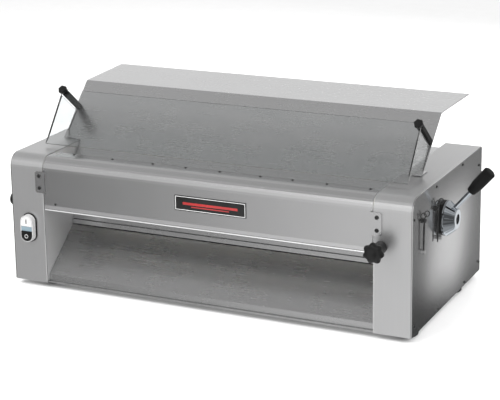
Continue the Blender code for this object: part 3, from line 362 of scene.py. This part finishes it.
def lathe(bm, profile, base, along, steps=24):
    """A solid turned about `along` from `base`; a profile row is (distance, radius) and may add a shape."""
    axis = Vector(along).normalized()
    side = axis.orthogonal().normalized()
    other = axis.cross(side)
    rings = []
    for distance, radius, *shape in profile:
        ring = []
        for i in range(steps):
            angle = 2 * math.pi * i / steps
            reach = radius * (shape[0](angle) if shape else 1.0)
            spoke = side * math.cos(angle) + other * math.sin(angle)
            ring.append(bm.verts.new(at(*(Vector(base) + axis * distance + spoke * reach))))
        rings.append(ring)
    skin(bm, rings)


def tube(bm, points, radius, steps=8):
    """A round wire along a smooth path."""
    points = [Vector(p) for p in points]
    side = (points[1] - points[0]).orthogonal().normalized()
    rings = []
    for i, point in enumerate(points):
        run = (points[min(i + 1, len(points) - 1)] - points[max(i - 1, 0)]).normalized()
        side = (side - run * side.dot(run)).normalized()
        other = run.cross(side)
        rings.append([
            bm.verts.new(at(*(point + (side * math.cos(a) + other * math.sin(a)) * radius)))
            for a in (2 * math.pi * k / steps for k in range(steps))])
    skin(bm, rings)


def wire(name, points, radius, finish, body):
    bm = bmesh.new()
    tube(bm, points, radius)
    piece(name, bm, finish, body)


def button_head(radius, height):
    """Domed screw head with a hexagon socket."""
    socket = radius * 0.48
    return [
        (0.0, radius), (height * 0.35, radius), (height * 0.8, radius * 0.8), (height, radius * 0.6),
        (height, socket, hexagon), (height * 0.3, socket, hexagon)]


def screws(name, finish, places, along, radius, height):
    bm = bmesh.new()
    for place in places:
        lathe(bm, button_head(radius, height), place, along)
    piece(name, bm, finish, "frame")


SIDES = (("left", -1), ("right", 1))
APRON = machine_box("apron")
BACK = machine_box("rear_cover")
# Screw places: y and z on the side covers, z on a keeper plate, x along the apron's flange
COVER_SCREWS = (
    (8, 238), (131.5, 267.6), (288.7, 269.7), (397, 241), (408, 32), (314.7, 18.6), (152, 17.2), (16, 30.5))
KEEPER_X, KEEPER_SCREWS = 361.5, (212.8, 237.6)
FLANGE_Y, FLANGE_SCREWS = 43, (-305, -216, -125, -52, 22, 108, 175, 245, 332)
HEM_SCREW = (-326.5, 181.5)
BACK_X, BACK_Z = (-335, -115, 115, 335), (30, 250)
# Head radius and height
COVER_HEAD, CAP_HEAD, FLANGE_HEAD, HEM_HEAD = (2.8, 1.5), (4.0, 2.2), (2.6, 1.2), (2.4, 1.2)

for word, sign in SIDES:
    screws(f"cover_screws_{word}", "dark_steel",
           [(sign * (HALF + STAND_OFF), y, z) for y, z in COVER_SCREWS], (sign, 0, 0), *COVER_HEAD)
    keeper = machine_box(f"keeper_plate_{word}")
    screws(f"keeper_screws_{word}", "dark_steel",
           [(sign * KEEPER_X, keeper[0].y - STAND_OFF, z) for z in KEEPER_SCREWS], (0, -1, 0), *CAP_HEAD)
screws("flange_screws", "dark_steel",
       [(x, FLANGE_Y, APRON[1].z + STAND_OFF) for x in FLANGE_SCREWS], (0, 0, 1), *FLANGE_HEAD)
screws("hem_screw", "dark_steel",
       [(HEM_SCREW[0], APRON[0].y - STAND_OFF, HEM_SCREW[1])], (0, -1, 0), *HEM_HEAD)
screws("rear_cover_screws", "screw_steel",
       [(x, BACK[1].y + STAND_OFF, z) for x in BACK_X for z in BACK_Z], (0, 1, 0), *CAP_HEAD)

# Painted highlights along the sheets: pale steel wires on the columns' outer top edges and inner folds, and
# on the apron's hem
for word, sign in SIDES:
    wire(f"column_edge_highlight_{word}", [(sign * 427.9, y, 276.3) for y in (46, 120, 200, 300, 411)], 0.5,
         "highlight_steel", "frame")
    wire(f"column_fold_highlight_{word}", [(sign * 355.2, 1.0, z) for z in (16, 80, 140, 200)], 1.2,
         "highlight_steel", "frame")
wire("apron_hem_highlight", [(x, APRON[0].y + 0.4, APRON[0].z + 1.4) for x in (-352, -180, 0, 180, 352)], 1.2,
     "highlight_steel", "frame")

STAR = machine_box("star_knob")
STAR_MIDDLE = ((STAR[0].x + STAR[1].x) / 2, STAR[0].y, (STAR[0].z + STAR[1].z) / 2)
STAR_R = (STAR[1].x - STAR[0].x) / 2
STAR_COUNT = 7
STAR_LOBES = lobes(STAR_COUNT, 0.17)
STAR_HUB_R, STAR_STUD_R = 12.0, 4.0
bm = bmesh.new()
lathe(bm, [
    (0.6, STAR_R * 0.30), (0.0, STAR_R * 0.36), (0.4, STAR_R * 0.62, lobes(STAR_COUNT, 0.05)),
    (1.6, STAR_R * 0.84, lobes(STAR_COUNT, 0.12)), (4.0, STAR_R * 0.96, STAR_LOBES),
    (6.5, STAR_R * 0.995, STAR_LOBES), (10.0, STAR_R * 0.995, STAR_LOBES),
    (13.0, STAR_R * 0.94, STAR_LOBES), (15.0, STAR_R * 0.78, lobes(STAR_COUNT, 0.1)),
    (15.4, 12.5), (17.0, STAR_HUB_R), (45.4, STAR_HUB_R),
    (46.4, 11.2), (46.4, STAR_STUD_R), (57.0, STAR_STUD_R)],
    STAR_MIDDLE, (0, 1, 0), 84)
piece("star_knob_moulded", bm, "black_plastic", "star_knob", "star_knob")

# Each guard knob becomes a six-sided head with softened corners, turned like the CAD knob
GUARD_KNOB_TILT = math.radians(39)
for word, sign in SIDES:
    low, high = machine_box(f"guard_knob_{word}")
    middle = (low + high) / 2
    along = Vector((0, -math.cos(GUARD_KNOB_TILT), math.sin(GUARD_KNOB_TILT)))
    bm = bmesh.new()
    lathe(bm, [(-4.3, 7.0, hexagon), (-4.3, 8.4, hexagon), (-3.4, 9.4, hexagon), (3.0, 9.4, hexagon),
               (4.3, 8.2, hexagon), (4.4, 3.0)], middle, along, 48)
    piece(f"guard_knob_{word}_head", bm, "black_plastic", "frame", f"guard_knob_{word}")


HAIRPIN_WIRE_R, HAIRPIN_LOOP_R, HAIRPIN_LOOP_TURN = 0.9, 5.4, 340


def hairpin(name, node, body):
    """Wire spring: two legs from the rod's end up past the pin, each ending in a round finger loop."""
    low, high = machine_box(node)
    y, x = (low.y + high.y) / 2, low.x + 1.0
    top, bottom = high.z - 6.9, low.z + 2.0
    bm = bmesh.new()
    for side in (-1, 1):
        centre = Vector((x + 2.4 + side * 0.8, y + side * 7.4, top))
        wide = Vector((0.66, 0.75, 0.0))
        start = -90 - side * 40
        loop = [centre + (wide * math.cos(a) + Vector((0, 0, 1)) * math.sin(a)) * HAIRPIN_LOOP_R
                for a in (math.radians(start + side * HAIRPIN_LOOP_TURN * i / 28) for i in range(29))]
        leg = [Vector((x, y + side * 1.2, bottom)), Vector((x, y + side * 2.8, bottom + 24)),
               Vector((x + 0.4, y + side * 2.6, top - 24)), Vector((x + 1.2, y + side * 1.4, top - 12))]
        tube(bm, leg + loop, HAIRPIN_WIRE_R)
    piece(name, bm, "dark_steel", body, node)


hairpin("spring_wire_front", "retaining_spring_front", "front_spring")
hairpin("spring_wire_rear", "retaining_spring_rear", "rear_spring")

# Raised flutes along the dial's cone, and a black collar round its rim
DIAL = machine_box("dial_hub")
DIAL_MIDDLE = Vector((0, (DIAL[0].y + DIAL[1].y) / 2, (DIAL[0].z + DIAL[1].z) / 2))
FLUTES = 12
bm = bmesh.new()
for i in range(FLUTES):
    angle = math.radians(360 / FLUTES * i + 15)
    spoke = Vector((0, math.cos(angle), math.sin(angle)))
    near = DIAL_MIDDLE + Vector((DIAL[0].x + 13.5, 0, 0)) + spoke * 32.4
    far = DIAL_MIDDLE + Vector((DIAL[1].x - 2.2, 0, 0)) + spoke * 20.6
    tube(bm, [near.lerp(far, share) for share in (0.0, 0.1, 0.5, 0.9, 1.0)], 0.9, 10)
piece("dial_flutes", bm, "chrome", "gap_control")
bm = bmesh.new()
lathe(bm, [(0.0, 30.0), (0.0, 34.05), (7.2, 34.05), (7.2, 33.5), (7.2, 30.0)],
      DIAL_MIDDLE + Vector((DIAL[0].x + 0.6, 0, 0)), (1, 0, 0), 64)
piece("dial_collar", bm, "black_plastic", "gap_control")

# Black ring round the foot of the push buttons' housing: painted shade
BEZEL = machine_box("button_bezel")
BEZEL_MIDDLE = (BEZEL[0] + BEZEL[1]) / 2
HALF_WIDE = (BEZEL[1].x - BEZEL[0].x) / 2 + 0.6
STRAIGHT = (BEZEL[1].z - BEZEL[0].z) / 2 + 0.6 - HALF_WIDE
SHADE_RING = []
for i in range(49):
    angle = 2 * math.pi * i / 48
    lift = math.copysign(STRAIGHT, math.sin(angle)) if i % 24 else 0.0
    SHADE_RING.append((BEZEL_MIDDLE.x + HALF_WIDE * math.cos(angle), -1.5,
                   BEZEL_MIDDLE.z + lift + HALF_WIDE * math.sin(angle)))
wire("button_shade_ring", SHADE_RING, 1.3, "black_plastic", "frame")

# Generic on and off marks on the two buttons
START, STOP = machine_box("start_button"), machine_box("stop_button")
START_MIDDLE, STOP_MIDDLE = (START[0] + START[1]) / 2, (STOP[0] + STOP[1]) / 2
STOP_RING_R = 3.6
wire("start_mark",
     [(START_MIDDLE.x, START[0].y - 0.4, START_MIDDLE.z + dz) for dz in (-4.5, -1.5, 1.5, 4.5)],
     0.8, "black_plastic", "start_button")
wire("stop_mark",
     [(STOP_MIDDLE.x + STOP_RING_R * math.cos(a), STOP[0].y - STAND_OFF,
       STOP_MIDDLE.z + STOP_RING_R * math.sin(a))
      for a in (2 * math.pi * i / 32 for i in range(33))],
     0.6, "white_plastic", "stop_button")

# Plain border and bars on the nameplate
PLATE = machine_box("nameplate")
PLATE_FRONT = PLATE[0].y


def plate_strip(bm, low, high):
    """A thin strip with chamfered edges on the nameplate, from low to high in x and z."""
    rings = []
    for inset, depth in ((0.0, 0.0), (0.0, 0.12), (0.15, 0.22)):
        corners = ((low[0] + inset, low[1] + inset), (high[0] - inset, low[1] + inset),
                   (high[0] - inset, high[1] - inset), (low[0] + inset, high[1] - inset))
        rings.append([bm.verts.new(at(x, PLATE_FRONT - depth, z)) for x, z in corners])
    skin(bm, rings)


bm = bmesh.new()
LEFT, RIGHT, BOTTOM, CEILING = PLATE[0].x + 1.5, PLATE[1].x - 1.5, PLATE[0].z + 1.5, PLATE[1].z - 1.5
for low, high in (((LEFT, BOTTOM), (RIGHT, BOTTOM + 0.9)), ((LEFT, CEILING - 0.9), (RIGHT, CEILING)),
                  ((LEFT, BOTTOM + 1.0), (LEFT + 0.9, CEILING - 1.0)),
                  ((RIGHT - 0.9, BOTTOM + 1.0), (RIGHT, CEILING - 1.0))):
    plate_strip(bm, low, high)
piece("nameplate_border", bm, "plate_line", "frame")
bm = bmesh.new()
for low, high in (((LEFT + 16, BOTTOM + 11), (RIGHT - 16, BOTTOM + 16)),
                  ((LEFT + 34, BOTTOM + 6.5), (RIGHT - 34, BOTTOM + 8.5))):
    plate_strip(bm, low, high)
piece("nameplate_bars", bm, "plate_mark", "frame")


# ---------------------------------------------------------------- studio and camera

def floor():
    bm = bmesh.new()
    steps, reach = 24, 14.0
    rings = [[bm.verts.new((0, 0, 0))]]
    for radius in (reach * 0.1, reach):
        rings.append([
            bm.verts.new((
                radius * math.cos(2 * math.pi * i / steps), radius * math.sin(2 * math.pi * i / steps), 0))
            for i in range(steps)])
    for i in range(steps):
        j = (i + 1) % steps
        bm.faces.new((rings[0][0], rings[1][i], rings[1][j]))
        bm.faces.new((rings[1][i], rings[2][i], rings[2][j], rings[1][j]))
    mesh = bpy.data.meshes.new("floor")
    bm.to_mesh(mesh)
    bm.free()
    mesh.materials.append(plastic("floor_paint", grey(0.86), grey(0.88), 0.6, 4.0, 0.02))
    obj = bpy.data.objects.new("floor", mesh)
    bpy.context.scene.collection.objects.link(obj)
    obj.visible_glossy = False


def area_light(name, place, aim, size, power):
    data = bpy.data.lights.new(name, "AREA")
    data.shape = "RECTANGLE"
    data.size, data.size_y = size
    data.energy = power
    obj = bpy.data.objects.new(name, data)
    bpy.context.scene.collection.objects.link(obj)
    obj.location = place
    obj.rotation_euler = (Vector(aim) - Vector(place)).to_track_quat("-Z", "Y").to_euler()
    obj.visible_glossy = False
    obj.visible_transmission = False


def world():
    """Soft studio surroundings: a gradient with height, with softboxes and dark cards as smooth patches."""
    scene_world = bpy.data.worlds.new("studio")
    bpy.context.scene.world = scene_world
    scene_world.use_nodes = True
    tree = scene_world.node_tree
    nodes, links = tree.nodes, tree.links

    def put(socket, value):
        if isinstance(value, bpy.types.NodeSocket):
            links.new(value, socket)
        else:
            socket.default_value = value

    def math_node(kind, *values):
        new = nodes.new("ShaderNodeMath")
        new.operation = kind
        for i, value in enumerate(values):
            put(new.inputs[i], value)
        return new.outputs[0]

    def fade(value, inner, outer):
        """1 up to `inner`, falling smoothly to 0 at `outer`."""
        new = nodes.new("ShaderNodeMapRange")
        new.interpolation_type = "SMOOTHSTEP"
        for key, number in (("Value", value), ("From Min", inner), ("From Max", outer),
                            ("To Min", 1.0), ("To Max", 0.0)):
            put(new.inputs[key], number)
        return new.outputs["Result"]

    coords = nodes.new("ShaderNodeTexCoord")
    split = nodes.new("ShaderNodeSeparateXYZ")
    links.new(coords.outputs["Generated"], split.inputs[0])
    forward = math_node("MULTIPLY", split.outputs["Y"], -1.0)
    turn = math_node("DEGREES", math_node("ARCTAN2", split.outputs["X"], forward))
    height = math_node("DEGREES", math_node("ARCSINE", split.outputs["Z"]))
    ramp = nodes.new("ShaderNodeFloatCurve")
    put(ramp.inputs["Value"], math_node("DIVIDE", math_node("ADD", height, 90.0), 180.0))
    points = ramp.mapping.curves[0].points
    while len(points) < len(SKY_BY_HEIGHT):
        points.new(0.5, 0.5)
    for point, (angle, value) in zip(points, SKY_BY_HEIGHT):
        point.location = ((angle + 90.0) / 180.0, value)
    ramp.mapping.update()
    total = ramp.outputs["Value"]
    for (turn_at, turn_in, turn_out), (height_at, height_in, height_out), amount in PATCHES:
        away = math_node("ABSOLUTE", math_node("SUBTRACT", turn, turn_at))
        above = math_node("ABSOLUTE", math_node("SUBTRACT", height, height_at))
        patch = math_node("MULTIPLY", fade(away, turn_in, turn_out), fade(above, height_in, height_out))
        total = math_node("ADD", total, math_node("MULTIPLY", patch, amount))
    path = nodes.new("ShaderNodeLightPath")
    reflected = math_node("MINIMUM", path.outputs["Glossy Depth"], 1.0)
    pattern = math_node("MULTIPLY", math_node("MAXIMUM", total, 0.02), reflected)
    plain = math_node("MULTIPLY", math_node("SUBTRACT", 1.0, reflected), PLAIN_WHITE)
    background = nodes["Background"]
    links.new(math_node("ADD", pattern, plain), background.inputs["Color"])
    background.inputs["Strength"].default_value = 1.0


def camera():
    """The photograph's viewpoint: right of the middle, looking down at the front."""
    data = bpy.data.cameras.new("camera")
    data.sensor_width = 36.0
    data.lens = FOCAL
    data.shift_x, data.shift_y = LENS_SHIFT
    data.clip_end = 100.0
    obj = bpy.data.objects.new("camera", data)
    bpy.context.scene.collection.objects.link(obj)
    yaw, pitch, roll = (math.radians(v) for v in CAMERA_TURN)
    forward = Vector((-math.sin(yaw) * math.cos(pitch), math.cos(yaw) * math.cos(pitch), -math.sin(pitch)))
    right = Vector((math.cos(yaw), math.sin(yaw), 0))
    up = right.cross(forward)
    turned_right = right * math.cos(roll) + up * math.sin(roll)
    turned_up = up * math.cos(roll) - right * math.sin(roll)
    matrix = Matrix((turned_right, turned_up, -forward)).transposed().to_4x4()
    matrix.translation = at(*CAMERA_PLACE)
    obj.matrix_world = matrix
    bpy.context.scene.camera = obj


# What the floor and the camera see of the surroundings; reflections see the pattern below
PLAIN_WHITE = 1.05
# Brightness of the surroundings by angle above the horizon
SKY_BY_HEIGHT = (
    (-90, 1.0), (-38, 1.0), (-26, 0.55), (-10, 0.55), (0, 0.6), (30, 0.6), (60, 0.42), (90, 0.36))
# Patches: turn from the machine's front (middle, full, faded), height (same), brightness; in degrees
PATCHES = (
    ((-42, 7, 19), (-14, 12, 26), -0.47),
    ((-8, 8, 20), (-10, 20, 35), 0.42),
    ((-8, 8, 26), (35, 10, 22), 1.10),
    ((-155, 12, 28), (16, 4, 10), 0.35),
    ((160, 20, 30), (-14, 16, 24), -0.33),
    ((162, 3, 8), (-18.5, 1, 5), 0.85),
    ((158, 22, 34), (-29, 4, 9.5), -0.50),
    ((75, 30, 48), (-50, 22, 36), -0.60),
    ((55, 20, 32), (8, 16, 28), -0.50),
    ((48, 1.5, 4), (14, 18, 28), 1.40),
)
CAMERA_PLACE = (1348.0, -2605.0, 1114.0)
CAMERA_TURN = (25.48, 14.49, -0.89)
FOCAL = 115.1
LENS_SHIFT = (0.0014, -0.1306)

floor()
world()
camera()
area_light("key_light", at(-900, -1700, 1900), at(0, 100, 200), (1.6, 1.2), 60)
area_light("fill_light", at(1900, -600, 1400), at(0, 100, 200), (1.2, 1.2), 25)
area_light("back_light", at(300, 2200, 1500), at(0, 100, 200), (2.4, 0.8), 40)
bpy.context.scene.view_settings.view_transform = "Standard"
